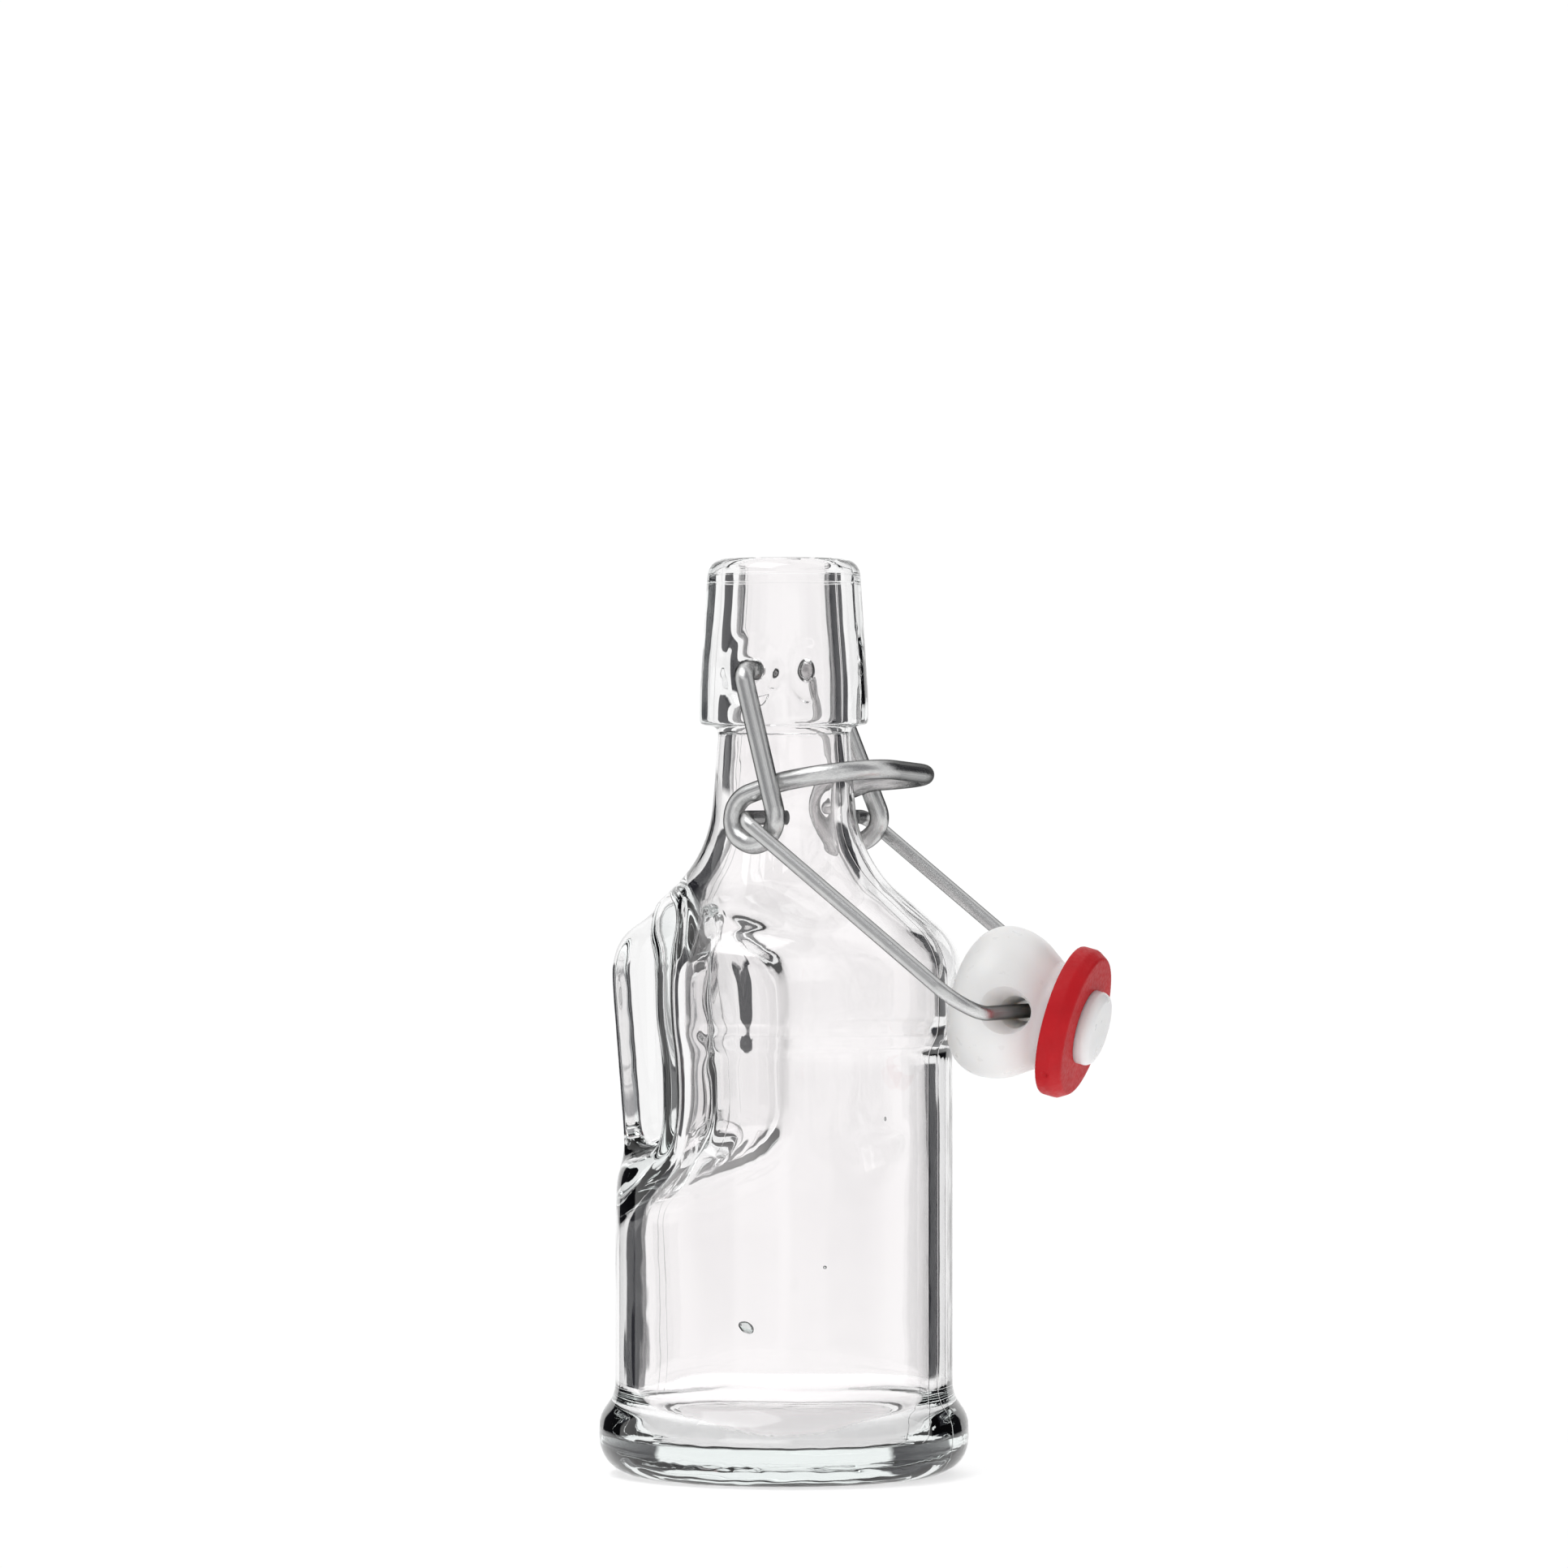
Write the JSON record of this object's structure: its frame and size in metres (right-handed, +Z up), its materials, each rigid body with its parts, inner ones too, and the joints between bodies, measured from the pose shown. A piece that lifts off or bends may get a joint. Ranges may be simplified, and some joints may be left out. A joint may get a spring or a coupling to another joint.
{
  "type": "swing top bottle",
  "caption": "Small clear glass swing-top bottle with an ear handle moulded into its body, a wire lever and bail, and a white stopper with a red rubber gasket",
  "frame": {"origin": "centre of the base on the resting plane", "axes": "+Z up along the bottle's axis, +X towards the thumb loop and the hanging stopper, Y along the wires' pivots"},
  "size_m": [0.0934, 0.0648, 0.16],
  "materials": {
    "bottle": "clear moulded glass, gloss",
    "lever_wire": "drawn steel wire, satin",
    "bail_wire": "drawn steel wire, satin",
    "stopper": "white moulded plastic, soft gloss",
    "gasket": "red rubber, satin"
  },
  "bodies": {
    "bottle": {"bottle": "bottle"},
    "lever": {"lever_wire": "lever_wire"},
    "bail": {"bail_wire": "bail_wire"},
    "stopper": {"stopper": "stopper", "gasket": "gasket"}
  },
  "joints": [
    {"name": "lever_pivot", "type": "hinge", "parent": "bottle", "child": "lever", "pos_m": [0, 0, 0.1403], "axis": [0, -1, 0], "range_deg": [0, 55]},
    {"name": "bail_pivot", "type": "hinge", "parent": "lever", "child": "bail", "pos_m": [0.004, 0, 0.1148], "axis": [0, -1, 0], "range_deg": [0, 98]},
    {"name": "stopper_tilt", "type": "hinge", "parent": "bail", "child": "stopper", "pos_m": [0.047, 0, 0.0816], "axis": [0, -1, 0], "range_deg": [-90, 130]}
  ]
}
